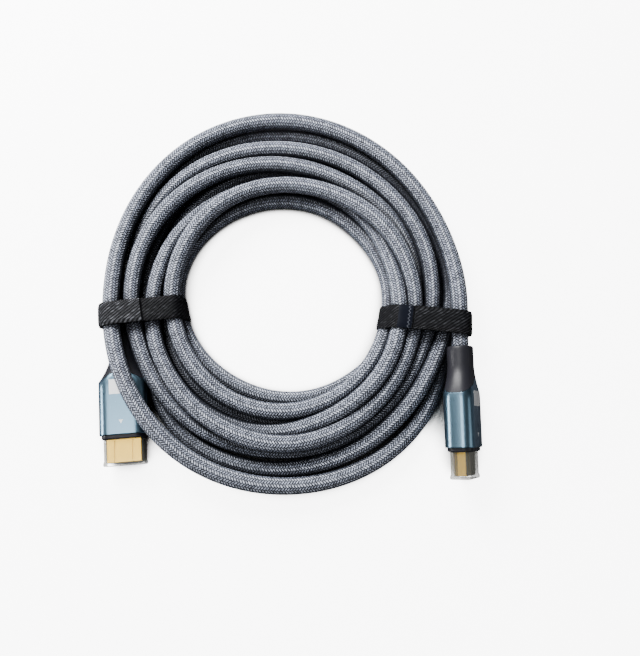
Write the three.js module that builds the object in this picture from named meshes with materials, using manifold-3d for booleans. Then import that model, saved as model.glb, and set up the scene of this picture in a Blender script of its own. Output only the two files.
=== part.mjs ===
// A 3 m braided HDMI cable, wound in a flat round coil and held by two hook-and-loop ties.
// Millimetres, +Z up. The coil lies on the floor, and both plugs point to -Y.
// Coil frame: the middle of the coil is at x = 0, y = 0, and the floor is at z = 0.
import * as THREE from 'three';
import { mergeVertices } from 'three/addons/utils/BufferGeometryUtils.js';
import Module from 'manifold-3d';

const wasm = await Module();
wasm.setup();

// Clearance between pieces that touch on the real cable
const seatGap = 0.3;

// The cable and the coil that it is wound in; the two lists say how far the real bundle strays
// from a round ring at every 30 degrees, anticlockwise from +X
const cableDiameter = 6.9;
const lowerStrands = 5;
const upperStrands = 4;
const boreRadius = 41;
const strandPitch = cableDiameter;
const outerEase = [-0.4, -0.8, 2.7, 6.4, 7, 3, 0.1, 1.4, 4.2, 4.5, 5.2, 2.9];
const boreEase = [0, -1.3, -2.2, -1.9, 0.1, 1.6, 2.2, 0.2, -2.1, -1.8, 0.3, 0.3];
const humpOverPlug = 5.4;
const humpAngle = 214;
const humpSpread = 34;
const coilSegments = 48;
const arcSteps = 4;
const tubeSides = 12;

// The hook-and-loop ties
const tieWidth = 9.6;
const tieThickness = 1;
const tieSqueeze = 2;
const tieCornerRadius = 4.6;
const tieFlapThickness = 0.8;
const tieFlapFoot = 4;
const leftTie = { angle: 188, middle: 59, shift: -1.2 };
const rightTie = { angle: -5.5, middle: 58, shift: -5 };

// The connectors: moulded boot, aluminium housing, front collar and plug
const bootLength = 19;
const bootEndDiameter = 10.6;
const bootFlareStart = 8;
const bootFlareCurve = 1.7;
const housingWidth = 19.7;
const housingThickness = 12;
const housingCornerRadius = 4.5;
const housingLength = 21.5;
const archHeight = 6.2;
const archCurve = 1.4;
const collarLength = 1.2;
const collarInset = 0.9;
const shellWidth = 13.9;
const shellThickness = 4.45;
const shellLength = 9;
const shellWall = 0.4;
const shellLowerInset = 1.3;
const insertWall = 0.7;
const insertRecess = 1.6;
const capSideWall = 0.75;
const capFaceWall = 1.4;
const capEndWall = 1.2;
const capCornerRadius = 1.6;
const capLip = 0.35;
const capLipLength = 1.5;
const cornerSteps = 4;
const taperSteps = 12;

// Where the connectors lie: the front of the housing, its turn about +Z, how far its front end
// dips and its roll. The right one's boot lies on a turn of the cable.
const leftPlug = { x: -64.6, y: -56.8, yaw: 4.5, dip: 0, roll: 0 };
const rightPlug = { x: 71.7, y: -61.9, yaw: 0.8, dip: 3, roll: 64 };

// How far each bare lead runs from its boot into the coil
const leftLeadLength = 5;
const rightLeadLength = 3.4;

const cableRadius = cableDiameter / 2;
const bundleWidth = lowerStrands * strandPitch;
const upperCentre = cableRadius + cableDiameter;
const bundleTop = upperCentre + cableRadius;
const connectorLength = bootLength + housingLength;
const degrees = Math.PI / 180;

const braid = { color: 0x8b8e9c, roughness: 0.7, metalness: 0 };
const blackMoulding = { color: 0x1d1e22, roughness: 0.5, metalness: 0 };
const anodised = { color: 0x6f8797, roughness: 0.35, metalness: 0.9 };
const goldPlate = { color: 0xe6c887, roughness: 0.25, metalness: 1 };
const clearPlastic = { color: 0xd9dcd8, roughness: 0.2, metalness: 0, transparent: true, opacity: 0.4 };
const insertPlastic = { color: 0x17181a, roughness: 0.6, metalness: 0 };
const hookAndLoop = { color: 0x16171a, roughness: 0.9, metalness: 0 };

const group = new THREE.Group();

function toSolid(geometry) {
  const bare = geometry.index ? geometry.toNonIndexed() : geometry.clone();
  for (const name of Object.keys(bare.attributes)) {
    if (name !== 'position') bare.deleteAttribute(name);
  }
  const merged = mergeVertices(bare, 1e-4);
  return new wasm.Manifold(new wasm.Mesh({
    numProp: 3,
    vertProperties: new Float32Array(merged.attributes.position.array),
    triVerts: new Uint32Array(merged.index.array),
  }));
}

function toGeometry(solid) {
  const mesh = solid.getMesh();
  const geometry = new THREE.BufferGeometry();
  geometry.setAttribute('position', new THREE.BufferAttribute(new Float32Array(mesh.vertProperties), 3));
  geometry.setIndex(new THREE.BufferAttribute(new Uint32Array(mesh.triVerts), 1));
  geometry.computeVertexNormals();
  return geometry;
}

function addPiece(name, geometry, material, parent = group) {
  const mesh = new THREE.Mesh(geometry, new THREE.MeshStandardMaterial(material));
  mesh.name = name;
  parent.add(mesh);
  return mesh;
}

// A rectangle with round corners, drawn around its middle
function roundedRectangle(width, height, radius, centreX = 0, centreY = 0) {
  const r = Math.min(radius, width / 2 - 0.01, height / 2 - 0.01);
  const halfWidth = width / 2;
  const halfHeight = height / 2;
  const corners = [[1, -1, -90], [1, 1, 0], [-1, 1, 90], [-1, -1, 180]];
  const points = [];
  for (const [sideX, sideY, start] of corners) {
    const x = centreX + sideX * (halfWidth - r);
    const y = centreY + sideY * (halfHeight - r);
    for (let step = 0; step <= cornerSteps; step += 1) {
      const angle = (start + 90 * step / cornerSteps) * degrees;
      points.push(new THREE.Vector2(x + r * Math.cos(angle), y + r * Math.sin(angle)));
    }
  }
  return points;
}

// The plug's outline: a flat rectangle whose two lower corners are cut off, as a D-shaped plug has
function plugOutline(width, height, lowerInset) {
  const halfWidth = width / 2;
  const halfHeight = height / 2;
  return [
    new THREE.Vector2(-halfWidth + lowerInset, -halfHeight),
    new THREE.Vector2(halfWidth - lowerInset, -halfHeight),
    new THREE.Vector2(halfWidth, -halfHeight + lowerInset),
    new THREE.Vector2(halfWidth, halfHeight),
    new THREE.Vector2(-halfWidth, halfHeight),
    new THREE.Vector2(-halfWidth, -halfHeight + lowerInset),
  ];
}

function extrude(points, depth, holes = [], steps = 1) {
  const shape = new THREE.Shape(points);
  for (const hole of holes) shape.holes.push(new THREE.Path(hole));
  return new THREE.ExtrudeGeometry(shape, { depth, steps, bevelEnabled: false });
}

// The coil: one turned ring whose section shows five strands below and four above
function coilProfile() {
  const points = [];
  const arc = (x, z, from, to, steps) => {
    for (let step = 0; step <= steps; step += 1) {
      const angle = (from + (to - from) * step / steps) * degrees;
      points.push(new THREE.Vector2(x + cableRadius * Math.cos(angle), z + cableRadius * Math.sin(angle)));
    }
  };
  const upperPitch = (bundleWidth - cableDiameter) / (upperStrands - 1);
  for (let strand = 0; strand < lowerStrands; strand += 1) {
    const x = boreRadius + cableRadius + strand * strandPitch;
    const from = strand === 0 ? 120 : 180;
    const to = strand === lowerStrands - 1 ? 420 : 360;
    const extra = (strand === 0 || strand === lowerStrands - 1) ? 1 : 0;
    arc(x, cableRadius, from, to, arcSteps + extra);
    if (strand < lowerStrands - 1) points.pop();
  }
  for (let strand = upperStrands - 1; strand >= 0; strand -= 1) {
    const x = boreRadius + cableRadius + strand * upperPitch;
    const from = strand === upperStrands - 1 ? -60 : 0;
    const to = strand === 0 ? 240 : 180;
    const extra = (strand === 0 || strand === upperStrands - 1) ? 1 : 0;
    arc(x, upperCentre, from, to, arcSteps + extra);
  }
  points.push(points[0].clone());
  return points;
}

// A value between the entries of a list that goes once round the coil, joined by a smooth curve
function aroundCoil(values, angle) {
  const count = values.length;
  const place = ((angle / 360) % 1 + 1) % 1 * count;
  const first = Math.floor(place);
  const t = place - first;
  const [a, b, c, d] = [-1, 0, 1, 2].map((step) => values[(first + step + count) % count]);
  const straight = (c - a) * t;
  const square = (2 * a - 5 * b + 4 * c - d) * t ** 2;
  const cube = (3 * b - a - 3 * c + d) * t ** 3;
  return b + (straight + square + cube) / 2;
}

// The real bundle is no round ring, and its outer turn rides over the left housing
function easeCoil(geometry) {
  const position = geometry.attributes.position;
  for (let i = 0; i < position.count; i += 1) {
    const x = position.getX(i);
    const y = position.getY(i);
    const z = position.getZ(i);
    const radius = Math.hypot(x, y);
    const angle = Math.atan2(y, x) / degrees;
    const share = (radius - boreRadius) / bundleWidth;
    const ease = THREE.MathUtils.lerp(aroundCoil(boreEase, angle), aroundCoil(outerEase, angle), share);
    const away = ((angle - humpAngle + 540) % 360 - 180) / humpSpread;
    const hump = Math.abs(away) < 1 && share > 0.75 && z > cableDiameter
      ? humpOverPlug * Math.cos(away * Math.PI / 2) ** 2
      : 0;
    const stretch = (radius + ease) / radius;
    position.setXYZ(i, x * stretch, y * stretch, z + hump);
  }
  return geometry;
}

const coilBlank = toSolid(easeCoil(
  new THREE.LatheGeometry(coilProfile(), coilSegments).rotateX(Math.PI / 2),
));

// A tie is a band drawn tight around the bundle; its end is pressed down over its outer half
const tieInside = {
  width: bundleWidth - tieSqueeze,
  height: bundleTop + seatGap - tieThickness,
};

// The band's outline across the bundle, grown from the inside of the tie
function tieOutline(middle, grow) {
  return roundedRectangle(
    tieInside.width + 2 * grow,
    tieInside.height + 2 * grow,
    tieCornerRadius + grow,
    middle,
    tieThickness + tieInside.height / 2,
  );
}

function placeAcrossBundle(geometry, depth, tie) {
  geometry.rotateX(Math.PI / 2);
  geometry.translate(0, depth / 2 + tie.shift, 0);
  return geometry.rotateZ(tie.angle * degrees);
}

function makeTie(tie) {
  const inner = tieOutline(tie.middle, 0);
  const outer = tieOutline(tie.middle, tieThickness);
  const flapOuter = tieOutline(tie.middle, tieThickness + tieFlapThickness);
  const across = (points, holes = []) => toSolid(
    placeAcrossBundle(extrude(points, tieWidth, holes), tieWidth, tie),
  );
  const flapTop = bundleTop + 2 * (tieThickness + tieFlapThickness);
  const flapEnd = tie.middle + tieInside.width;
  const flapArea = [
    new THREE.Vector2(tie.middle, tieFlapFoot),
    new THREE.Vector2(flapEnd, tieFlapFoot),
    new THREE.Vector2(flapEnd, flapTop),
    new THREE.Vector2(tie.middle, flapTop),
  ];
  const flap = across(flapOuter, [inner]).intersect(across(flapArea));
  return across(outer, [inner]).add(flap);
}

// What a tie takes out of the coil: all but the waist that the band is drawn around
function tieWaist(tie) {
  const depth = tieWidth + 2 * seatGap;
  const margin = bundleWidth / 4;
  const around = roundedRectangle(
    tieInside.width + 2 * margin,
    tieInside.height + 2 * margin,
    tieCornerRadius,
    tie.middle,
    tieThickness + tieInside.height / 2,
  );
  const waist = extrude(around, depth, [tieOutline(tie.middle, -seatGap)]);
  return toSolid(placeAcrossBundle(waist, depth, tie));
}

// Connector frame: x across the housing, y through it, z from the cable's end to the plug's tip
function connectorBlank(grow, length) {
  const outline = roundedRectangle(
    housingWidth + 2 * grow,
    housingThickness + 2 * grow,
    housingCornerRadius + grow,
  );
  const geometry = extrude(outline, length, [], taperSteps);
  const position = geometry.attributes.position;
  const flare = bootLength - bootFlareStart;
  for (let i = 0; i < position.count; i += 1) {
    const z = position.getZ(i);
    const section = Math.min(1, Math.max(0, (z - bootFlareStart) / flare)) ** bootFlareCurve;
    const width = THREE.MathUtils.lerp(bootEndDiameter, housingWidth, section) + 2 * grow;
    const height = THREE.MathUtils.lerp(bootEndDiameter, housingThickness, section) + 2 * grow;
    position.setX(i, position.getX(i) * width / (housingWidth + 2 * grow));
    position.setY(i, position.getY(i) * height / (housingThickness + 2 * grow));
  }
  return geometry;
}

// The aluminium rises in an arch on both wide faces, and the boot fills the rest
function archPrism(offset) {
  const shoulder = bootLength + offset;
  const halfWidth = housingWidth / 2;
  const beyond = housingWidth;
  const points = [
    new THREE.Vector2(-beyond, -beyond),
    new THREE.Vector2(beyond, -beyond),
    new THREE.Vector2(beyond, shoulder),
    new THREE.Vector2(halfWidth, shoulder),
  ];
  const archSteps = 8;
  for (let step = 1; step < archSteps; step += 1) {
    const x = halfWidth * (1 - 2 * step / archSteps);
    const side = Math.abs(x) / halfWidth;
    const rise = archHeight * (1 - side ** archCurve);
    points.push(new THREE.Vector2(x, shoulder - rise));
  }
  points.push(new THREE.Vector2(-halfWidth, shoulder));
  points.push(new THREE.Vector2(-beyond, shoulder));
  const depth = 2 * housingThickness;
  const geometry = extrude(points, depth);
  geometry.rotateX(Math.PI / 2);
  geometry.translate(0, depth / 2, 0);
  return geometry;
}

const wholeBlank = toSolid(connectorBlank(0, connectorLength));
const bootSide = toSolid(archPrism(0));
const housingSide = toSolid(archPrism(seatGap));
const bootSolid = wholeBlank.intersect(bootSide);
const housingSolid = wholeBlank.subtract(housingSide);
const bootGeometry = toGeometry(bootSolid);
const housingGeometry = toGeometry(housingSolid);

const collarGeometry = extrude(
  roundedRectangle(
    housingWidth - 2 * collarInset,
    housingThickness - 2 * collarInset,
    housingCornerRadius - collarInset,
  ),
  collarLength,
);

const shellOutline = plugOutline(shellWidth, shellThickness, shellLowerInset);
const shellBore = plugOutline(
  shellWidth - 2 * shellWall,
  shellThickness - 2 * shellWall,
  shellLowerInset,
);
const shellGeometry = extrude(shellOutline, shellLength, [shellBore]);

const insertWidth = shellWidth - 2 * (shellWall + seatGap);
const insertHeight = shellThickness - 2 * (shellWall + seatGap);
const insertGeometry = extrude(
  plugOutline(insertWidth, insertHeight, shellLowerInset),
  shellLength - insertRecess,
  [roundedRectangle(insertWidth - 2 * insertWall, insertHeight - 2 * insertWall, 0.2)],
);

const capBoreWidth = shellWidth + 2 * seatGap;
const capBoreHeight = shellThickness + 2 * seatGap;
const capLength = shellLength + seatGap + capEndWall;

function makeCap() {
  const width = capBoreWidth + 2 * capSideWall;
  const height = capBoreHeight + 2 * capFaceWall;
  const body = toSolid(extrude(roundedRectangle(width, height, capCornerRadius), capLength));
  const lipOutline = roundedRectangle(width + 2 * capLip, height + 2 * capLip, capCornerRadius + capLip);
  const lip = toSolid(
    extrude(lipOutline, capLipLength).translate(0, 0, capLength - capLipLength),
  );
  const bore = toSolid(
    extrude(roundedRectangle(capBoreWidth, capBoreHeight, 0.3), capLength)
      .translate(0, 0, -capEndWall),
  );
  return body.add(lip).subtract(bore);
}

const capGeometry = toGeometry(makeCap());

function leadGeometry(length) {
  const path = new THREE.LineCurve3(new THREE.Vector3(0, 0, 0), new THREE.Vector3(0, 0, length));
  const section = new THREE.Shape();
  for (let side = 0; side < tubeSides; side += 1) {
    const angle = 2 * Math.PI * side / tubeSides;
    const x = cableRadius * Math.cos(angle);
    const y = cableRadius * Math.sin(angle);
    if (side === 0) section.moveTo(x, y);
    else section.lineTo(x, y);
  }
  return new THREE.ExtrudeGeometry(section, { extrudePath: path, steps: 1, bevelEnabled: false });
}

// The height of a rolled connector's axis above the floor that its lowest edge rests on
function axisHeight(roll) {
  const angle = roll * degrees;
  const flatWidth = housingWidth / 2 - housingCornerRadius;
  const flatHeight = housingThickness / 2 - housingCornerRadius;
  return flatWidth * Math.sin(angle) + flatHeight * Math.cos(angle) + housingCornerRadius;
}

function connectorFrame(plug) {
  const frame = new THREE.Group();
  const yaw = plug.yaw * degrees;
  const across = new THREE.Vector3(Math.cos(yaw), Math.sin(yaw), 0);
  const along = new THREE.Vector3(Math.sin(yaw), -Math.cos(yaw), 0);
  along.applyAxisAngle(across, plug.dip * degrees);
  const up = new THREE.Vector3().crossVectors(along, across);
  const roll = new THREE.Quaternion().setFromAxisAngle(along, -plug.roll * degrees);
  const basis = new THREE.Matrix4().makeBasis(
    across.applyQuaternion(roll),
    up.applyQuaternion(roll),
    along,
  );
  frame.quaternion.setFromRotationMatrix(basis);
  frame.position.set(plug.x, plug.y, axisHeight(plug.roll));
  frame.position.addScaledVector(along, -connectorLength);
  frame.updateMatrixWorld(true);
  return frame;
}

// What a connector and its lead take out of the coil
function connectorPocket(frame, leadLength) {
  const body = toSolid(connectorBlank(seatGap, connectorLength + shellLength)
    .applyMatrix4(frame.matrix));
  const inBoot = 1;
  const boreLength = leadLength + 2 * seatGap + inBoot;
  const boreRadiusForLead = cableRadius + seatGap;
  const bore = new THREE.CylinderGeometry(boreRadiusForLead, boreRadiusForLead, boreLength, tubeSides);
  bore.rotateX(Math.PI / 2);
  bore.translate(0, 0, inBoot - boreLength / 2);
  return body.add(toSolid(bore.applyMatrix4(frame.matrix)));
}

function addConnector(side, plug, leadLength) {
  const frame = connectorFrame(plug);
  group.add(frame);
  const lead = addPiece(`${side}_lead`, leadGeometry(leadLength), braid, frame);
  lead.position.z = -leadLength - seatGap;
  addPiece(`${side}_boot`, bootGeometry.clone(), blackMoulding, frame);
  addPiece(`${side}_housing`, housingGeometry.clone(), anodised, frame);
  let front = connectorLength + seatGap;
  const collar = addPiece(`${side}_collar`, collarGeometry.clone(), blackMoulding, frame);
  collar.position.z = front;
  front += collarLength + seatGap;
  const shell = addPiece(`${side}_plug_shell`, shellGeometry.clone(), goldPlate, frame);
  shell.position.z = front;
  const insert = addPiece(`${side}_contact_insert`, insertGeometry.clone(), insertPlastic, frame);
  insert.position.z = front;
  const cap = addPiece(`${side}_dust_cap`, capGeometry.clone(), clearPlastic, frame);
  cap.position.z = front;
  return connectorPocket(frame, leadLength);
}

const leftPocket = addConnector('left', leftPlug, leftLeadLength);
const rightPocket = addConnector('right', rightPlug, rightLeadLength);

const coil = coilBlank
  .subtract(tieWaist(leftTie))
  .subtract(tieWaist(rightTie))
  .subtract(leftPocket)
  .subtract(rightPocket);
addPiece('cable_coil', toGeometry(coil), braid);
addPiece('left_tie', toGeometry(makeTie(leftTie)), hookAndLoop);
addPiece('right_tie', toGeometry(makeTie(rightTie)), hookAndLoop);

// The origin is the middle of the whole cable's box, on the floor
group.updateMatrixWorld(true);
const box = new THREE.Box3().setFromObject(group, true);
const middle = box.getCenter(new THREE.Vector3());
group.position.set(-middle.x, -middle.y, -box.min.z);

export default group;
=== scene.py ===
import math

import bmesh
import bpy
import numpy as np
from mathutils import Matrix, Vector


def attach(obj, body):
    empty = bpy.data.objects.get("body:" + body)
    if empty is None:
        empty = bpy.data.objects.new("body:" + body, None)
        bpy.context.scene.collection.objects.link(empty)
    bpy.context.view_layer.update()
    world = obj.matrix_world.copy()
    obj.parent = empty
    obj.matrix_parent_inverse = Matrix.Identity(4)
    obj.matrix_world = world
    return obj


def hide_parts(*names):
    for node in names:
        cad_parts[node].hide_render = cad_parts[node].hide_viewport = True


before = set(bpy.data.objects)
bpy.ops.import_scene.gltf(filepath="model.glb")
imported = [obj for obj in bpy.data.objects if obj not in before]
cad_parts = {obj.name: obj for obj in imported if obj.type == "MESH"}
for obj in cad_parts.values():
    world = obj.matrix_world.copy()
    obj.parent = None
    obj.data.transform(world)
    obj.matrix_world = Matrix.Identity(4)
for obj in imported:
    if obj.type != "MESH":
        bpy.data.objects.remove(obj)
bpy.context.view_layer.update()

# Camera: looks down at the coil from 79 degrees above the floor, from 0.3 m away.
# Its place and lens were chosen so that the coil and both connectors fall where the photo shows them.
mm = 0.001
camera_height_angle = 79
camera = bpy.data.objects.new("camera", bpy.data.cameras.new("camera"))
camera.data.sensor_fit = "HORIZONTAL"
camera.data.sensor_width = 36
camera.data.lens = 40.0
camera.data.clip_start = 0.01
camera.data.clip_end = 10
camera.location = Vector((12.97, -70.2, 297.15)) * mm
camera.rotation_euler = (math.radians(90 - camera_height_angle), 0, 0)
bpy.context.collection.objects.link(camera)
bpy.context.scene.camera = camera

# Cable: 3.2 m of round cable under a braid of light blue-grey yarns, wound in 8.5 turns.
# The ties draw its turns together, and the connectors' boots are moulded onto its two ends.
cable_diameter = 6.9
cable_radius = cable_diameter / 2
coil_middle = Vector((-1.37, -0.95, 0))

# The lay was chosen. It goes round clockwise from the left side, half a turn to a row: angle in
# degrees, distance from the coil's middle in mm, and layer, 0 on the floor and 1 on top of another turn.
lay = [
    [(0, 71.8, 0), (31, 74.8, 0), (60, 75.9, 0), (89, 74.7, 0), (119, 72.0, 0), (149, 69.7, 0),
     (180, 70.3, 0)],
    [(191, 68.1, .5), (199, 66.4, 1), (216, 66.4, 1), (241, 69.2, .5), (270, 70.8, 0), (299, 73.2, 0),
     (310, 73.6, 0), (318, 72.4, 0), (325, 69.0, 0), (332, 64.4, 0), (344, 62.0, 0)],
    [(0, 65.9, 0), (31, 69.2, .1), (45, 69.2, .5), (60, 67.8, .9), (90, 65.3, 1), (120, 63.6, 1),
     (150, 62.3, 1), (181, 61.6, 1)],
    [(191, 60.7, 1), (204, 59.6, .9), (223, 61.4, .3), (240, 63.4, 0), (270, 63.2, 0), (297, 63.3, 0),
     (313, 63.6, 1), (343, 64.4, 1)],
    [(-1, 64.4, 1), (30, 65.4, 1), (60, 62.9, 1), (90, 57.9, 1), (120, 54.6, 1), (140, 55.3, .8),
     (155, 57.3, .3), (169, 57.6, 0), (180, 56.8, 0)],
    [(210, 54.5, 0), (240, 53.6, 0), (270, 52.7, 0), (330, 52.5, 0)],
    [(0, 53.4, 0), (46, 55.6, 0), (89, 59.1, 0), (134, 53.7, 0), (180, 50.0, 0)],
    [(190, 49.0, 0), (202, 46.4, 0), (215, 44.8, 0), (240, 43.8, 0), (270, 42.4, 0), (299, 41.2, 0),
     (345, 44.9, 0)],
    [(0, 48.0, 0), (31, 47.8, 0), (60, 45.3, 0), (89, 44.4, 0), (119, 44.5, 0), (149, 44.7, 0),
     (180, 44.6, .1)],
    [(191, 45.0, .4), (203, 46.2, .8), (226, 46.9, 1), (269, 47.9, 1), (298, 48.5, 1), (343, 46.9, 1)],
    [(-2, 47.0, 1), (30, 48.8, 1), (60, 49.4, 1), (120, 48.3, 1), (151, 50.3, 1), (181, 52.9, 1)],
    [(202, 55.0, 1), (241, 58.3, 1), (269, 61.0, 1.1), (298, 59.2, 1.2), (343, 57.9, 1)],
    [(-1, 54.0, 1), (29, 52.8, 1), (48, 51.8, .8), (65, 52.0, .1), (89, 51.2, 0), (119, 48.5, .2),
     (150, 46.5, .7), (182, 46.7, 1)],
    [(202, 48.5, 1), (241, 51.1, 1), (269, 56.6, 1), (286, 57.9, .6), (301, 58.5, .1), (345, 59.1, 0)],
    [(0, 59.9, 0), (16, 62.6, 0), (46, 65.7, 0), (89, 67.1, 0), (119, 65.5, 0), (149, 64.4, 0),
     (180, 63.5, 0)],
    [(188, 64.9, 0), (196, 68.4, 0), (204, 72.3, 0), (212, 75.0, 0), (222, 76.4, 0), (240, 78.0, .25),
     (269, 77.2, .6), (296, 77.8, 1.2), (309, 76.8, 1.75), (319, 74.9, 1.75), (331, 72.5, 1.7),
     (343, 70.9, 1.4)],
    [(-1, 69.9, 1), (30, 74.8, 1), (60, 80.2, 1), (90, 80.7, 1), (120, 75.5, 1), (150, 70.4, 1),
     (180, 70.3, 1.05)],
]
left_boot_entry = (-13.5, 69.8, 0.37)
right_boot_entry = (3076.8, 74.2, 1.25)

# The connectors at both ends. Each widens from its boot's round end to the housing.
connector_length = 40.5
boot_length = 19.0
boot_end = 10.6
boot_corner = 5.2
flare_start = 8
flare_curve = 1.7
housing_width = 19.7
housing_thickness = 12.0
housing_corner = 4.5


def connector_frame(front, yaw, dip, roll):
    """x across the housing, y through it, z from the cable's end to the plug's tip."""
    yaw, dip, roll = (math.radians(a) for a in (yaw, dip, roll))
    across = Vector((math.cos(yaw), math.sin(yaw), 0))
    along = Matrix.Rotation(dip, 3, across) @ Vector((math.sin(yaw), -math.cos(yaw), 0))
    up = along.cross(across)
    turn = Matrix.Rotation(-roll, 3, along)
    across, up = turn @ across, turn @ up
    place = Matrix((across, up, along)).transposed().to_4x4()
    place.translation = coil_middle + Vector(front)
    return place


left_frame = connector_frame((-64.6, -56.8, 6.0), 4.5, 0, 0)
right_frame = connector_frame((71.7, -61.9, 9.97), 0.8, 3, 64)


def connector_outline(t):
    """Width, thickness and corner radius of a connector, t mm from its boot's end."""
    flare = np.clip((t - flare_start) / (boot_length - flare_start), 0, 1) ** flare_curve
    width = boot_end + (housing_width - boot_end) * flare
    thickness = boot_end + (housing_thickness - boot_end) * flare
    return width, thickness, boot_corner + (housing_corner - boot_corner) * flare


def clear_of_connector(points, place, skip):
    """How far each centre point has to move to lie beside a connector rather than in it."""
    gap, longest_push, tiny = 0.2, 2, 1e-6
    inverse = np.array(place.inverted())
    local = points @ inverse[:3, :3].T + inverse[:3, 3]
    t = local[:, 2] + connector_length
    width, thickness, corner = connector_outline(t)
    half = np.stack([width / 2, thickness / 2], axis=1)
    inset = np.abs(local[:, :2]) - (half - corner[:, None])
    outside = np.maximum(inset, 0)
    far = np.hypot(outside[:, 0], outside[:, 1])
    distance = far + np.minimum(inset.max(axis=1), 0) - corner
    away = np.where(far[:, None] > tiny, outside / np.maximum(far, tiny)[:, None], 0)
    inner = far <= tiny
    away[inner, 0] = inset[inner, 0] > inset[inner, 1]
    away[inner, 1] = inset[inner, 0] <= inset[inner, 1]
    away *= np.sign(local[:, :2])
    push = np.clip(cable_radius + gap - distance, 0, longest_push)
    push[(t < 0) | (t > connector_length + 1) | skip] = 0
    turn = np.array(place.to_3x3())
    return (away * push[:, None]) @ turn[:, :2].T


# The turns settle like a real coil: from the planned lay each turn sinks, keeps its bend smooth, pushes its
# neighbours aside and moves out of the connectors. One station stands at every fourth degree.
station_step = 4
stations_per_turn = 360 // station_step
first_angle, last_angle = -8, 3068
full_turns = last_angle // 360
path_angles = np.arange(first_angle, last_angle + 1, station_step)
rows = [(360 * (row // 2) + a, r, layer) for row, half in enumerate(lay) for a, r, layer in half]
plan = np.array([left_boot_entry] + rows + [right_boot_entry])
wanted_r = np.interp(path_angles, plan[:, 0], plan[:, 1])
wanted_z = cable_radius + cable_diameter * np.interp(path_angles, plan[:, 0], plan[:, 2])
turns = np.radians(path_angles)
outward = np.stack([-np.cos(turns), np.sin(turns)], axis=1)
middle_xy = np.array(coil_middle[:2])
degrees_in_boot = 20
at_start = path_angles < degrees_in_boot
at_end = path_angles > last_angle - degrees_in_boot
passes, last_passes = 700, 60
early_pull, late_pull, height_pull = 0.08, 0.02, 0.01
weight = 0.01
bend_smoothing = 0.3
closest_turns = cable_diameter * 0.92
push_share = 0.25
floor_gap = 0.05


def station_points():
    return np.column_stack([middle_xy + outward * r[:, None], z])


r, z = wanted_r.copy(), wanted_z.copy()
count = len(r)
for step in range(passes):
    settling = step > passes - last_passes
    r += (wanted_r - r) * (late_pull if settling else early_pull)
    z += (wanted_z - z) * (0.0 if settling else height_pull)
    z -= weight
    for values in (r, z):
        values[1:-1] += bend_smoothing * (values[:-2] + values[2:] - 2 * values[1:-1])
    for lap in range(1, full_turns + 1):
        apart = lap * stations_per_turn
        a, b = slice(0, count - apart), slice(apart, count)
        dr, dz = r[b] - r[a], z[b] - z[a]
        distance = np.maximum(np.hypot(dr, dz), 1e-3)
        push = np.maximum(closest_turns - distance, 0) * push_share / distance
        r[a] -= dr * push
        r[b] += dr * push
        z[a] -= dz * push
        z[b] += dz * push
    points = station_points()
    for place, skip in ((left_frame, at_start), (right_frame, at_end)):
        push = clear_of_connector(points, place, skip)
        r += (push[:, :2] * outward).sum(axis=1) / 2
        z += push[:, 2] / 2
    z = np.maximum(z, cable_radius + floor_gap)
    r[0], z[0] = wanted_r[0], wanted_z[0]
    r[-1], z[-1] = wanted_r[-1], wanted_z[-1]


def on_axis(place, t):
    """The point t mm from the boot's end, on a connector's own axis."""
    return np.array(place @ Vector((0, 0, t - connector_length)))


def smooth_line(points, spacing):
    """A curve through the points, with its own points at even steps, and its length."""
    before = np.vstack([2 * points[0] - points[1], points[:-1]])
    after = np.vstack([points[1:], 2 * points[-1] - points[-2]])
    slope = (after - before) / 2
    t = np.linspace(0, 1, 8, endpoint=False)[:, None]
    fine = [
        (2 * t**3 - 3 * t**2 + 1) * p + (t**3 - 2 * t**2 + t) * m
        + (3 * t**2 - 2 * t**3) * q + (t**3 - t**2) * n
        for p, q, m, n in zip(points[:-1], points[1:], slope[:-1], slope[1:])
    ]
    fine = np.vstack(fine + [points[-1:]])
    run = np.concatenate([[0], np.cumsum(np.linalg.norm(np.diff(fine, axis=0), axis=1))])
    even = np.linspace(0, run[-1], int(run[-1] / spacing) + 1)
    return np.column_stack([np.interp(even, run, fine[:, i]) for i in range(3)]), run[-1]


# The line begins and ends on the connectors' own axes, just inside their boots.
line = np.vstack([
    [on_axis(left_frame, t) for t in (4, 1, -2)],
    station_points(),
    [on_axis(right_frame, t) for t in (-2, 1, 4)],
])
smoothing_rounds = 3
for _ in range(smoothing_rounds):
    line[2:-2] += 0.25 * (line[1:-3] + line[3:-1] - 2 * line[2:-2])
point_spacing = 1.6
centreline, cable_length = smooth_line(line, point_spacing)


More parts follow.
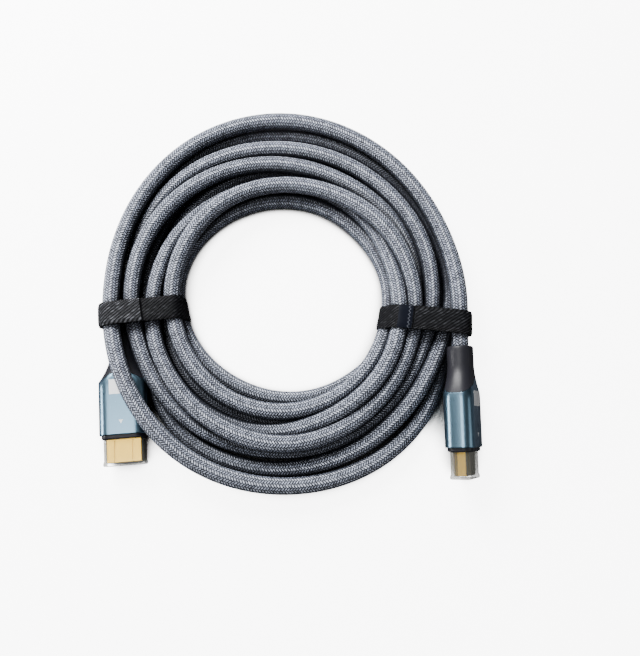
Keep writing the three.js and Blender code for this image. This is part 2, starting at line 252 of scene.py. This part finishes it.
def tube_mesh(name, points, radius, sides):
    """A closed tube along the points. Its UV runs along it in mm and once around it."""
    forward = np.gradient(points, axis=0)
    forward /= np.linalg.norm(forward, axis=1)[:, None]
    side = np.cross(forward[0], (0, 0, 1))
    side /= np.linalg.norm(side)
    sidewards = []
    for f in forward:
        side = side - f * side.dot(f)
        side /= np.linalg.norm(side)
        sidewards.append(side)
    sidewards = np.array(sidewards)
    upwards = np.cross(sidewards, forward)
    angles = np.linspace(0, 2 * np.pi, sides, endpoint=False)
    rings = (
        points[:, None, :]
        + radius * np.cos(angles)[None, :, None] * sidewards[:, None, :]
        + radius * np.sin(angles)[None, :, None] * upwards[:, None, :]
    )
    n = len(points)
    first = np.arange(n - 1)[:, None] * sides
    i = np.arange(sides)[None, :]
    j = (i + 1) % sides
    faces = np.stack([first + i, first + j, first + sides + j, first + sides + i], axis=-1).reshape(-1, 4)
    ends = [list(range(sides))[::-1], [(n - 1) * sides + k for k in range(sides)]]
    mesh = bpy.data.meshes.new(name)
    mesh.from_pydata((rings.reshape(-1, 3) * mm).tolist(), [], faces.tolist() + ends)
    run = np.concatenate([[0], np.cumsum(np.linalg.norm(np.diff(points, axis=0), axis=1))])
    along, along_next = (np.broadcast_to(v[:, None], (n - 1, sides)) for v in (run[:-1], run[1:]))
    around, around_next = (np.broadcast_to(v / sides, (n - 1, sides)) for v in (i, i + 1))
    corners = np.stack([
        np.stack([along, around], -1), np.stack([along, around_next], -1),
        np.stack([along_next, around_next], -1), np.stack([along_next, around], -1),
    ], axis=2).reshape(-1, 2)
    values = np.zeros((len(mesh.loops), 2))
    values[: len(corners)] = corners
    mesh.uv_layers.new(name="UVMap").data.foreach_set("uv", values.ravel().astype(np.float32))
    mesh.polygons.foreach_set("use_smooth", [True] * len(faces) + [False, False])
    mesh.update()
    return mesh


def principled(name, color, roughness, metallic=0.0):
    """A material with its one Principled node, which the piece's own section builds on."""
    material = bpy.data.materials.new(name)
    material.use_nodes = True
    shader = material.node_tree.nodes["Principled BSDF"]
    shader.inputs["Base Color"].default_value = (*color, 1)
    shader.inputs["Roughness"].default_value = roughness
    shader.inputs["Metallic"].default_value = metallic
    return material, shader


def nodes_for(tree):
    """Short ways to add a node with its values, to join two sockets, and to do arithmetic."""
    def add(kind, values=None, **settings):
        node = tree.nodes.new(kind)
        for key, value in settings.items():
            setattr(node, key, value)
        for key, value in (values or {}).items():
            node.inputs[key].default_value = value
        return node

    def number(operation, first, second=0.0):
        node = add("ShaderNodeMath", operation=operation)
        for value, socket in ((first, node.inputs[0]), (second, node.inputs[1])):
            if isinstance(value, (int, float)):
                socket.default_value = value
            else:
                tree.links.new(value, socket)
        return node.outputs[0]

    return add, tree.links.new, number


# The braid: two sets of yarns cross on the diagonal, and each yarn passes over two, then under two.
yarn_pitch = 1.15
yarns_around = 16
yarn_color = (0.38, 0.42, 0.53, 1)
light_yarn_color = (0.64, 0.69, 0.82, 1)
# A near-black for painted shade, where the weave sinks between yarns and where the turns lie close together.
painted_shade_color = (0.003, 0.004, 0.008, 1)
braid, shader = principled("braid", (0.3, 0.3, 0.34), 0.52)
shader.inputs["Specular IOR Level"].default_value = 0.35
add, join, number = nodes_for(braid.node_tree)
lengthwise = add("ShaderNodeSeparateXYZ")
join(add("ShaderNodeUVMap", uv_map="UVMap").outputs["UV"], lengthwise.inputs[0])
steps_along = number("DIVIDE", lengthwise.outputs[0], yarn_pitch)
steps_around = number("MULTIPLY", lengthwise.outputs[1], yarns_around)
one_way = number("ADD", steps_along, steps_around)
other_way = number("SUBTRACT", steps_along, steps_around)
in_one, in_other = number("FRACT", one_way), number("FRACT", other_way)
first_yarn, other_yarn = number("FLOOR", one_way), number("FLOOR", other_way)
phase = number("FLOORED_MODULO", number("SUBTRACT", first_yarn, other_yarn), 4)
first_on_top = number("LESS_THAN", phase, 1.5)
first_run = number("SUBTRACT", number("ADD", phase, 1), in_other)
other_run = number("ADD", number("SUBTRACT", phase, 2), in_one)


def yarn_height(across, run):
    """A yarn is rounded across, and rises and falls over the length that lies on top."""
    rounded = number("SINE", number("MULTIPLY", across, math.pi))
    rising = number("SINE", number("MULTIPLY", run, math.pi / 2))
    return number("MULTIPLY", rounded, number("ADD", number("MULTIPLY", rising, 0.6), 0.4))


height = number("ADD", number("MULTIPLY", yarn_height(in_one, first_run), first_on_top),
                number("MULTIPLY", yarn_height(in_other, other_run), number("SUBTRACT", 1, first_on_top)))
filaments = add("ShaderNodeTexNoise", {"Scale": 2600, "Detail": 2})
join(add("ShaderNodeTexCoord").outputs["Object"], filaments.inputs["Vector"])
crossing = add("ShaderNodeCombineXYZ")
join(first_yarn, crossing.inputs[0])
join(other_yarn, crossing.inputs[1])
uneven = add("ShaderNodeTexWhiteNoise", noise_dimensions="2D")
join(crossing.outputs[0], uneven.inputs["Vector"])
# Painted shade: ambient occlusion darkens the braid's colour where the turns lie close together.
shade_ao = add("ShaderNodeAmbientOcclusion", {"Distance": 0.008}, samples=8)
painted_turn_shade = number("POWER", shade_ao.outputs["AO"], 2.6)
# Painted shade: the colour darkens where the weave sinks, at each yarn's edges and where it dives under, and
# is lightest on the crests.
painted_yarn_shade = number("MULTIPLY", number("POWER", height, 2.4), number("ADD", filaments.outputs["Fac"], 0.5))
yarn_wear = number("ADD", number("MULTIPLY", uneven.outputs["Value"], 1.3), 0.55)
yarn = add("ShaderNodeMix", {"A": yarn_color, "B": light_yarn_color}, data_type="RGBA")
join(first_on_top, yarn.inputs["Factor"])
tint = add("ShaderNodeMix", {"A": painted_shade_color}, data_type="RGBA")
join(number("MULTIPLY", number("MULTIPLY", painted_yarn_shade, yarn_wear), painted_turn_shade), tint.inputs["Factor"])
join(yarn.outputs["Result"], tint.inputs["B"])
join(tint.outputs["Result"], shader.inputs["Base Color"])
relief = add("ShaderNodeBump", {"Strength": 0.9, "Distance": 0.0003})
join(height, relief.inputs["Height"])
join(relief.outputs["Normal"], shader.inputs["Normal"])

cable_sides = 22
cable = bpy.data.objects.new("cable", tube_mesh("cable", centreline, cable_radius, cable_sides))
bpy.context.collection.objects.link(cable)
cable.data.materials.append(braid)
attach(cable, "cable")
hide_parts("cable_coil", "left_lead", "right_lead")


# Boots: the strain reliefs, of black soft plastic, moulded onto the cable's ends. Each flares from
# round to the housing's outline, and reaches furthest into the housing at its two narrow sides.
def skin(name, rings, place, closed=False):
    """Joins rings of points with faces, and closes both ends or joins the last ring to the first."""
    sharpest_smooth = math.radians(40)
    count, size = len(rings), len(rings[0])
    points = np.array(rings, dtype=float).reshape(-1, 3)
    if place is not None:
        turn = np.array(place)
        points = points @ turn[:3, :3].T + turn[:3, 3]
    faces = []
    for k in range(count if closed else count - 1):
        below, above = k * size, (k + 1) % count * size
        faces += [(below + i, below + (i + 1) % size, above + (i + 1) % size, above + i) for i in range(size)]
    if not closed:
        faces += [tuple(range(size))[::-1], tuple((count - 1) * size + i for i in range(size))]
    mesh = bpy.data.meshes.new(name)
    mesh.from_pydata((points * mm).tolist(), [], faces)
    shape = bmesh.new()
    shape.from_mesh(mesh)
    bmesh.ops.recalc_face_normals(shape, faces=shape.faces)
    for edge in shape.edges:
        edge.smooth = len(edge.link_faces) == 2 and edge.calc_face_angle() < sharpest_smooth
    for face in shape.faces:
        face.smooth = True
    shape.to_mesh(mesh)
    shape.free()
    thing = bpy.data.objects.new(name, mesh)
    bpy.context.collection.objects.link(thing)
    return thing


# Each ring has nine points to a corner and nine more along each of the two wide sides.
ring_plan = []
for quarter, (sx, sy) in enumerate(((1, 1), (-1, 1), (-1, -1), (1, -1))):
    ring_plan += [(sx, sy, 90 * quarter + 90 * k / 8) for k in range(9)]
    if quarter % 2 == 0:
        ring_plan += [(sx * (1 - k / 5), sy, 90 * quarter + 90) for k in range(1, 10)]
ring_plan = np.array(ring_plan)
around_sign, around_angle = ring_plan[:, :2], np.radians(ring_plan[:, 2])
ring_points = len(ring_plan)


def round_ring(width, height, corner, t):
    """A rounded rectangle across the connector at t; each value is one number or one per point."""
    width, height, corner, t = (np.broadcast_to(v, ring_points) for v in (width, height, corner, t))
    x = around_sign[:, 0] * (width / 2 - corner) + corner * np.cos(around_angle)
    y = around_sign[:, 1] * (height / 2 - corner) + corner * np.sin(around_angle)
    return np.stack([x, y, t - connector_length], axis=1)


def body_ring(t, inset):
    """The outline that boot and housing share, drawn in by the inset."""
    width, thickness, corner = connector_outline(np.broadcast_to(t, ring_points))
    return round_ring(width - 2 * inset, thickness - 2 * inset, corner - inset, t)


def make_fine_grain():
    """Breaks up a smooth finish: a fine bump, and a little change in roughness."""
    group = bpy.data.node_groups.new("fine_grain", "ShaderNodeTree")
    for name in ("Vector", "Scale", "Strength", "Distance", "Roughness"):
        kind = "NodeSocketVector" if name == "Vector" else "NodeSocketFloat"
        group.interface.new_socket(name=name, in_out="INPUT", socket_type=kind)
    group.interface.new_socket(name="Roughness", in_out="OUTPUT", socket_type="NodeSocketFloat")
    group.interface.new_socket(name="Normal", in_out="OUTPUT", socket_type="NodeSocketVector")
    add, join, number = nodes_for(group)
    given, result = add("NodeGroupInput"), add("NodeGroupOutput")
    noise = add("ShaderNodeTexNoise", {"Detail": 3})
    bump = add("ShaderNodeBump")
    join(given.outputs["Vector"], noise.inputs["Vector"])
    join(given.outputs["Scale"], noise.inputs["Scale"])
    join(given.outputs["Strength"], bump.inputs["Strength"])
    join(given.outputs["Distance"], bump.inputs["Distance"])
    join(noise.outputs["Fac"], bump.inputs["Height"])
    change = number("MULTIPLY", number("SUBTRACT", noise.outputs["Fac"], 0.5), 0.12)
    join(number("ADD", given.outputs["Roughness"], change), result.inputs["Roughness"])
    join(bump.outputs["Normal"], result.inputs["Normal"])
    return group


fine_grain = make_fine_grain()


def place_grain(material, shader, scale, strength, distance):
    """Puts the fine grain in a material, with that material's own values."""
    add, join, _ = nodes_for(material.node_tree)
    rough = shader.inputs["Roughness"].default_value
    values = {"Scale": scale, "Strength": strength, "Distance": distance, "Roughness": rough}
    grain = add("ShaderNodeGroup", values, node_tree=fine_grain)
    join(add("ShaderNodeTexCoord").outputs["Object"], grain.inputs["Vector"])
    join(grain.outputs["Roughness"], shader.inputs["Roughness"])
    join(grain.outputs["Normal"], shader.inputs["Normal"])


# The boot ends and the housing begins along a curved line: for each point of a ring, arch says how
# far this line is from the boot's back end.
arch_height = 6.2
arch_curve = 1.4
housing_ring = round_ring(housing_width, housing_thickness, housing_corner, 0)
across_share = np.abs(housing_ring[:, 0]) / (housing_width / 2)
arch = boot_length - arch_height * (1 - across_share**arch_curve)
boot_back = 0.9
boot_bore = 7.4
boot_plastic, shader = principled("boot_plastic", (0.012, 0.012, 0.016), 0.42)
shader.inputs["Specular IOR Level"].default_value = 0.3
place_grain(boot_plastic, shader, 900, 0.25, 0.0001)
connectors = (("left", left_frame), ("right", right_frame))
for side, place in connectors:
    rings = [round_ring(boot_bore, boot_bore, boot_bore / 2, t) for t in (2.0, 0.3)]
    rings += [body_ring(t, inset) for t, inset in ((0, 0.9), (0.12, 0.4), (0.5, 0.08), (boot_back, 0))]
    rings += [body_ring(boot_back + (arch - boot_back) * k / 14, 0) for k in range(1, 14)]
    rings += [body_ring(arch + t, inset) for t, inset in ((-0.1, 0), (0, 0.12), (0.2, 0.9), (0.4, 2.4))]
    boot = skin(f"{side}_boot_skin", rings, place)
    boot.data.materials.append(boot_plastic)
    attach(boot, "cable")
    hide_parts(f"{side}_boot")

# Housings: aluminium sleeves, extruded, chamfered at the front and anodised a satin blue-grey.
# Each is pushed over the front of its boot and stops a hair's breadth from the boot's curved line.
housing_back = arch + 0.06
housing_front = connector_length
straight = housing_front - 0.6 - housing_back
anodised, shader = principled("anodised", (0.15, 0.25, 0.33), 0.3, 1.0)
place_grain(anodised, shader, 1500, 0.05, 0.00002)
for side, place in connectors:
    rings = [body_ring(housing_back + t, inset) for t, inset in ((0.3, 1.2), (0, 0.2), (0.06, 0.03), (0.2, 0))]
    rings += [body_ring(housing_back + straight * k / 12, 0) for k in range(1, 13)]
    rings += [body_ring(housing_front + t, inset) for t, inset in (
        (-0.35, 0), (-0.02, 0.28), (0, 0.4), (0, 1.0), (-0.5, 1.05), (-0.5, 3.0))]
    housing = skin(f"{side}_housing_skin", rings, place)
    housing.data.materials.append(anodised)
    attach(housing, "cable")
    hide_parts(f"{side}_housing")

# Print: a plain light square and a small arrow on one wide face of each housing.
# They are thin layers of pale ink, and nothing is written in or beside them.
ink_thickness = 0.04
marks = {
    "square": [(-4.5, 18.2), (4.5, 18.2), (4.5, 24.2), (-4.5, 24.2)],
    "arrow": [(-0.9, 34.6), (0.9, 34.6), (0, 36.2)],
}
print_ink, shader = principled("print_ink", (0.85, 0.87, 0.88), 0.5)
place_grain(print_ink, shader, 2500, 0.1, 0.00005)
for side, place in connectors:
    for mark, corners in marks.items():
        layers = [
            [(x, housing_thickness / 2 + lift, t - connector_length) for x, t in corners]
            for lift in (-ink_thickness / 2, ink_thickness / 2)
        ]
        printed = skin(f"{side}_{mark}", layers, place)
        printed.data.materials.append(print_ink)
        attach(printed, "cable")

# Collars: the same black plastic as the boots, moulded as a flat face around each plug.
# Each closes the front of its housing and stands out of it by a millimetre and a half.
collar_width, collar_thickness, collar_corner = 17.9, 10.2, 3.6
for side, place in connectors:
    rings = [
        round_ring(collar_width - 2 * i, collar_thickness - 2 * i, collar_corner - i, connector_length + t)
        for t, i in ((-0.3, 0.0), (1.1, 0.0), (1.4, 0.12), (1.55, 0.4), (1.55, 1.6))
    ]
    collar = skin(f"{side}_collar_skin", rings, place)
    collar.data.materials.append(boot_plastic)
    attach(collar, "cable")
    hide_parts(f"{side}_collar")

# Plugs: the shells of the standard plug, folded from sheet metal and gold plated.
# Two grooves are pressed along one wide side, and each shell is held in its collar.
plug_width, plug_thickness = 13.9, 4.45
plug_start = connector_length + 1.5
plug_end = plug_start + 9.3
lower_cut = 1.3
groove_places = (-3.6, 3.6)
gold, shader = principled("gold", (0.90, 0.56, 0.07), 0.34, 1.0)
place_grain(gold, shader, 1200, 0.1, 0.00004)


def plug_ring(wall, t):
    """The plug's outline: cut lower corners, small upper ones, and the two grooves."""
    w, h = plug_width / 2 - wall, plug_thickness / 2 - wall
    outline = [(w, -h + lower_cut), (w - lower_cut, -h), (-w + lower_cut, -h), (-w, -h + lower_cut)]
    outline += [(-w, h - 0.15), (-w + 0.15, h)]
    for x in groove_places:
        outline += [(x - 0.32, h), (x - 0.2, h - 0.22), (x + 0.2, h - 0.22), (x + 0.32, h)]
    outline += [(w - 0.15, h), (w, h - 0.15)]
    return [(x, y, t - connector_length) for x, y in outline]


for side, place in connectors:
    rings = [plug_ring(wall, t) for wall, t in (
        (0, plug_start - 0.4), (0, plug_end - 0.1), (0.1, plug_end), (0.3, plug_end), (0.4, plug_end - 0.1),
        (0.4, plug_start - 0.4))]
    shell = skin(f"{side}_shell_skin", rings, place, closed=True)
    shell.data.materials.append(gold)
    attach(shell, "cable")
    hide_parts(f"{side}_plug_shell")

# Inserts: the black plastic blocks that hold the contacts inside each plug.
# Each is pressed into its shell, and its slot opens towards the plug's tip.
insert_end = plug_end - 1.6
insert_plastic, shader = principled("insert_black", (0.01, 0.01, 0.011), 0.5)
place_grain(insert_plastic, shader, 900, 0.15, 0.00005)
for side, place in connectors:
    rings = [round_ring(w, h, c, t) for w, h, c, t in (
        (12.0, 2.9, 0.3, plug_start - 0.3), (12.0, 2.9, 0.3, insert_end), (10.6, 1.7, 0.2, insert_end),
        (10.6, 1.7, 0.2, plug_start + 0.6))]
    insert = skin(f"{side}_insert_skin", rings, place)
    insert.data.materials.append(insert_plastic)
    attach(insert, "cable")
    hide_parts(f"{side}_contact_insert")

# Dust caps: sleeves of soft clear plastic, cloudier where they are seen edge on.
# Each is moulded with a closed, flared end, is pushed over its plug and pulls straight off.
cap_back, cap_end = plug_start + 0.1, plug_end + 1.35
cap_plastic, shader = principled("cap_plastic", (0.27, 0.27, 0.22), 0.25)
place_grain(cap_plastic, shader, 400, 0.2, 0.0001)
add, join, _ = nodes_for(cap_plastic.node_tree)
edge_on = add("ShaderNodeLayerWeight", {"Blend": 0.5})
cloudy = add("ShaderNodeMapRange", {"From Min": 0.15, "From Max": 0.7, "To Min": 0.12, "To Max": 0.85},
             interpolation_type="SMOOTHSTEP")
join(edge_on.outputs["Facing"], cloudy.inputs["Value"])
join(cloudy.outputs["Result"], shader.inputs["Alpha"])
for side, place in connectors:
    rings = [round_ring(w, h, c, t) for w, h, c, t in (
        (13.4, 5.0, 1.0, cap_end - 0.05), (14.0, 5.8, 1.2, cap_end - 0.05), (15.6, 7.4, 1.6, cap_end),
        (16.3, 8.2, 1.8, cap_end - 0.1), (16.7, 8.6, 1.9, cap_end - 0.5), (16.6, 8.5, 1.9, cap_end - 1.3),
        (16.0, 7.8, 1.6, cap_end - 1.9), (16.0, 7.8, 1.6, cap_back + 0.15), (15.6, 7.4, 1.5, cap_back),
        (14.4, 5.0, 0.4, cap_back), (14.4, 5.0, 0.4, cap_end - 1.25))]
    cap = skin(f"{side}_cap_skin", rings, place)
    cap.data.materials.append(cap_plastic)
    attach(cap, f"{side}_cap")
    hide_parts(f"{side}_dust_cap")

# Ties: bands of woven black hook-and-loop cloth, drawn tight round all the turns. The loose end of
# each is pressed down as a second layer over the outer half, and follows the turns under it.
tie_width = 9.6
band_thickness = 1.0
flap_thickness = 0.78
edge_softening = 0.3
flap_starts = 0.48
tie_points = 96
widths = np.linspace(-tie_width / 2, tie_width / 2, 9)


def band_section(along, across, offset):
    """The tightest line around the turns where they cross one plane of the tie."""
    flat = centreline[:, :2] - middle_xy
    reach, side = flat @ along, flat @ across - offset
    hit = np.nonzero((side[:-1] * side[1:] <= 0) & (reach[:-1] > 0))[0]
    share = side[hit] / (side[hit] - side[hit + 1])
    centres = np.stack([
        reach[hit] + share * (reach[hit + 1] - reach[hit]),
        centreline[hit, 2] + share * (centreline[hit + 1, 2] - centreline[hit, 2]),
    ], axis=1)
    ring = np.linspace(0, 2 * np.pi, 40, endpoint=False)
    dots = centres[:, None, :] + (cable_radius + 0.05) * np.stack([np.cos(ring), np.sin(ring)], axis=1)
    dots = dots.reshape(-1, 2)
    dots[:, 1] = np.maximum(dots[:, 1], band_thickness + 0.05)
    dots = dots[np.lexsort((dots[:, 1], dots[:, 0]))]

    def chain(points):
        kept = []
        for p in points:
            while len(kept) > 1:
                a, b = kept[-1] - kept[-2], p - kept[-2]
                if a[0] * b[1] - a[1] * b[0] > 0:
                    break
                kept.pop()
            kept.append(p)
        return kept[:-1]

    return np.array(chain(dots) + chain(dots[::-1]))


def even_ring(hull, start_angle, count):
    """The hull's outline at even steps, begun at one bearing from its middle so that rings match."""
    fine_points = 2000
    loop = np.vstack([hull, hull[:1]])
    run = np.concatenate([[0], np.cumsum(np.hypot(*np.diff(loop, axis=0).T))])
    fine = np.linspace(0, run[-1], fine_points, endpoint=False)
    line = np.stack([np.interp(fine, run, loop[:, i]) for i in range(2)], axis=1)
    middle = (line.min(axis=0) + line.max(axis=0)) / 2
    bearing = np.arctan2(line[:, 1] - middle[1], line[:, 0] - middle[0])
    first = np.argmin(np.abs((bearing - start_angle + np.pi) % (2 * np.pi) - np.pi))
    line = np.roll(line, -first, axis=0)
    picked = line[(np.arange(count) * fine_points / count).astype(int)]
    for _ in range(2):
        picked = (np.roll(picked, 1, axis=0) + 2 * picked + np.roll(picked, -1, axis=0)) / 4
    return picked


def grown(ring, by):
    """The ring moved outward by one amount."""
    run = np.roll(ring, -1, axis=0) - np.roll(ring, 1, axis=0)
    normal = np.stack([run[:, 1], -run[:, 0]], axis=1) / np.hypot(*run.T)[:, None]
    return ring + normal * by


def in_plane(line, along, across, offset):
    """Puts a flat line in the tie's plane, and keeps it off the floor."""
    flat = middle_xy + line[:, :1] * along + offset * across
    return np.column_stack([flat, np.maximum(line[:, 1], 0.02)])


def note_weave(thing, loops, highlight_level):
    """Keeps where each point is along and across the band, and its level of painted highlight, below zero on
    the band with the sewn patch.
    """
    values = []
    for loop, width in loops:
        run = np.concatenate([[0], np.cumsum(np.linalg.norm(np.diff(loop, axis=0), axis=1))])
        values.append(np.column_stack([run, np.full(len(loop), width), np.full(len(loop), highlight_level)]))
    layer = thing.data.attributes.new("weave", "FLOAT_VECTOR", "POINT")
    layer.data.foreach_set("vector", np.vstack(values).ravel().astype(np.float32))


# The weave has slanting ribs crossed by picks. The ribs' crests and single threads are painted lighter:
# painted highlights.
tie_weave, shader = principled("tie_weave", (0.012, 0.012, 0.014), 0.5)
shader.inputs["Specular IOR Level"].default_value = 0.06
add, join, number = nodes_for(tie_weave.node_tree)
weave_place = add("ShaderNodeSeparateXYZ")
join(add("ShaderNodeAttribute", attribute_name="weave").outputs["Vector"], weave_place.inputs[0])
run, width, highlight_level = weave_place.outputs
ribs = number("ADD", number("MULTIPLY", run, 0.55), number("MULTIPLY", width, 0.8))
rib = number("ABSOLUTE", number("SINE", number("MULTIPLY", ribs, math.pi)))
picks = number("ABSOLUTE", number("SINE", number("MULTIPLY", number("SUBTRACT", run, width), 1.3 * math.pi)))
cloth_height = number("MULTIPLY", rib, number("ADD", number("MULTIPLY", picks, 0.5), 0.5))
thread = add("ShaderNodeCombineXYZ")
join(number("FLOOR", ribs), thread.inputs[0])
join(number("FLOOR", number("MULTIPLY", width, 1.4)), thread.inputs[1])
speck = add("ShaderNodeTexWhiteNoise", noise_dimensions="2D")
join(thread.outputs[0], speck.inputs["Vector"])
# Painted highlights: the colour is lightest on the ribs' crests, and single threads are painted bright, more
# so where the highlight level is higher.
highlight_share = number("MAXIMUM", highlight_level, 0)
bright_threads = number("MULTIPLY", number("POWER", speck.outputs["Value"], 4), number("ADD", highlight_share, 0.3))
even_threads = number("ADD", number("MULTIPLY", highlight_share, 0.25), 0.1)
cloth_light = number("MULTIPLY", number("POWER", cloth_height, 3), number("ADD", bright_threads, even_threads))
cloth_tint = add("ShaderNodeMix", {"A": (0.001, 0.001, 0.0015, 1), "B": (0.13, 0.135, 0.15, 1)},
                 data_type="RGBA")
join(cloth_light, cloth_tint.inputs["Factor"])

# The right tie's sewn end, marked by a highlight level below zero: a smooth navy patch with a zigzag of
# stitches.
patch_length = 5.8
thread_radius = 0.16
on_patch = number("MULTIPLY", number("LESS_THAN", highlight_level, -0.5), number("LESS_THAN", run, patch_length))
patch_tint = add("ShaderNodeMix", {"B": (0.003, 0.004, 0.008, 1)}, data_type="RGBA")
join(on_patch, patch_tint.inputs["Factor"])
join(cloth_tint.outputs["Result"], patch_tint.inputs["A"])
zigzag = number("ADD", number("PINGPONG", width, 0.8), 0.9)
stitch = number("LESS_THAN", number("ABSOLUTE", number("SUBTRACT", run, zigzag)), thread_radius)
stitch_tint = add("ShaderNodeMix", {"B": (0.07, 0.075, 0.09, 1)}, data_type="RGBA")
join(number("MULTIPLY", stitch, on_patch), stitch_tint.inputs["Factor"])
join(patch_tint.outputs["Result"], stitch_tint.inputs["A"])
join(stitch_tint.outputs["Result"], shader.inputs["Base Color"])
cloth_relief = add("ShaderNodeBump", {"Strength": 0.8, "Distance": 0.0002})
join(number("MULTIPLY", cloth_height, number("SUBTRACT", 1, on_patch)), cloth_relief.inputs["Height"])
join(cloth_relief.outputs["Normal"], shader.inputs["Normal"])

# Each tie: bearing around the coil, shift along the turns, where its flap ends, and both layers' levels of
# painted highlight.
for side, bearing, shift, flap_bearing, band_highlight, flap_highlight in (
        ("left", 188, -1.2, 94, 0, 1), ("right", -5.5, -5.0, 128, -1, 0.1)):
    inner_loops, outer_loops, flap_loops = [], [], []
    angle = math.radians(bearing)
    along = np.array([math.cos(angle), math.sin(angle)])
    across = np.array([-along[1], along[0]])
    covered = np.arange(tie_points) / tie_points > flap_starts
    for w in widths:
        offset = shift + w
        ring = even_ring(band_section(along, across, offset), math.radians(flap_bearing), tie_points)
        edge = edge_softening if abs(w) > tie_width / 2 - 0.1 else 0
        low = grown(ring, band_thickness + 0.02)[covered]
        high = grown(ring, band_thickness + 0.02 + flap_thickness - edge)[covered]
        inner_loops.append((in_plane(ring, along, across, offset), w))
        outer_loops.append((in_plane(grown(ring, band_thickness - edge), along, across, offset), w))
        flap_loops.append((in_plane(np.vstack([high, low[::-1]]), along, across, offset), w))
    loops = inner_loops + outer_loops[::-1]
    tie = skin(f"{side}_tie_skin", [loop for loop, _ in loops], None, closed=True)
    note_weave(tie, loops, band_highlight)
    flap = skin(f"{side}_tie_flap", [loop for loop, _ in flap_loops], None)
    note_weave(flap, flap_loops, flap_highlight)
    for piece in (tie, flap):
        piece.data.materials.append(tie_weave)
        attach(piece, "cable")
    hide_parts(f"{side}_tie")
    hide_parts(f"{side}_tie")

# Floor: a plain white surface that the cable lies on. It glows white to the camera, and throws back little
# light.
# Its glow and colour are painted dark in narrow gaps, a painted shade, so that the gaps between the turns stay
# dark.
floor_mesh = bpy.data.meshes.new("floor")
floor_mesh.from_pydata([(-2, -2, 0), (2, -2, 0), (2, 2, 0), (-2, 2, 0)], [], [(0, 1, 2, 3)])
floor = bpy.data.objects.new("floor", floor_mesh)
bpy.context.collection.objects.link(floor)
floor_paint, shader = principled("floor_paint", (0.95, 0.95, 0.95), 0.9)
shader.inputs["Emission Color"].default_value = (1, 1, 1, 1)
add, join, _ = nodes_for(floor_paint.node_tree)
# Painted shade: ambient occlusion turns the floor's glow and colour down where it lies in a narrow gap.
gap_shade_ao = add("ShaderNodeAmbientOcclusion", {"Distance": 0.012}, samples=16)
glow = add("ShaderNodeMapRange", {"From Min": 0.4, "From Max": 0.75, "To Max": 7},
           interpolation_type="SMOOTHSTEP")
join(gap_shade_ao.outputs["AO"], glow.inputs["Value"])
join(glow.outputs["Result"], shader.inputs["Emission Strength"])
base = add("ShaderNodeMapRange", {"From Min": 0.25, "From Max": 0.6, "To Min": 0.02, "To Max": 0.95},
           interpolation_type="SMOOTHSTEP")
join(gap_shade_ao.outputs["AO"], base.inputs["Value"])
join(base.outputs["Result"], shader.inputs["Base Color"])
bounce = add("ShaderNodeBsdfDiffuse", {"Color": (0.1, 0.1, 0.11, 1)})
seen = add("ShaderNodeMixShader")
join(add("ShaderNodeLightPath").outputs["Is Camera Ray"], seen.inputs["Fac"])
join(bounce.outputs["BSDF"], seen.inputs[1])
join(shader.outputs["BSDF"], seen.inputs[2])
join(seen.outputs["Shader"], floor_paint.node_tree.nodes["Material Output"].inputs["Surface"])
floor_mesh.materials.append(floor_paint)

# Light: a soft lamp high at the upper left, one above for the metal, one low at the left and a weak
# one at the right. The sky is faint, brightest overhead, and looks pale behind the part.
for name, spot, size, power in (
        ("key", (-0.28, 0.42, 0.4), 0.32, 14),
        ("top", (-0.34, -0.12, 1.1), 0.4, 4.5),
        ("side", (-0.95, -0.1, 0.2), 0.25, 5),
        ("fill", (0.6, -0.2, 0.3), 0.3, 0.6)):
    lamp = bpy.data.objects.new(name, bpy.data.lights.new(name, "AREA"))
    lamp.data.shape = "SQUARE"
    lamp.data.size = size
    lamp.data.energy = power
    lamp.location = spot
    lamp.rotation_euler = (-Vector(spot)).to_track_quat("-Z", "Y").to_euler()
    bpy.context.collection.objects.link(lamp)
world = bpy.data.worlds.new("studio")
bpy.context.scene.world = world
world.use_nodes = True
add, join, number = nodes_for(world.node_tree)
background = world.node_tree.nodes["Background"]
background.inputs["Color"].default_value = (1, 1, 1, 1)
rise = add("ShaderNodeSeparateXYZ")
join(add("ShaderNodeTexCoord").outputs["Generated"], rise.inputs[0])
brightness = add("ShaderNodeMapRange", {"From Min": 0.1, "From Max": 0.9, "To Min": 0.01, "To Max": 0.12})
join(rise.outputs[2], brightness.inputs["Value"])
camera_ray = add("ShaderNodeLightPath").outputs["Is Camera Ray"]
join(number("MAXIMUM", brightness.outputs["Result"], camera_ray), background.inputs["Strength"])
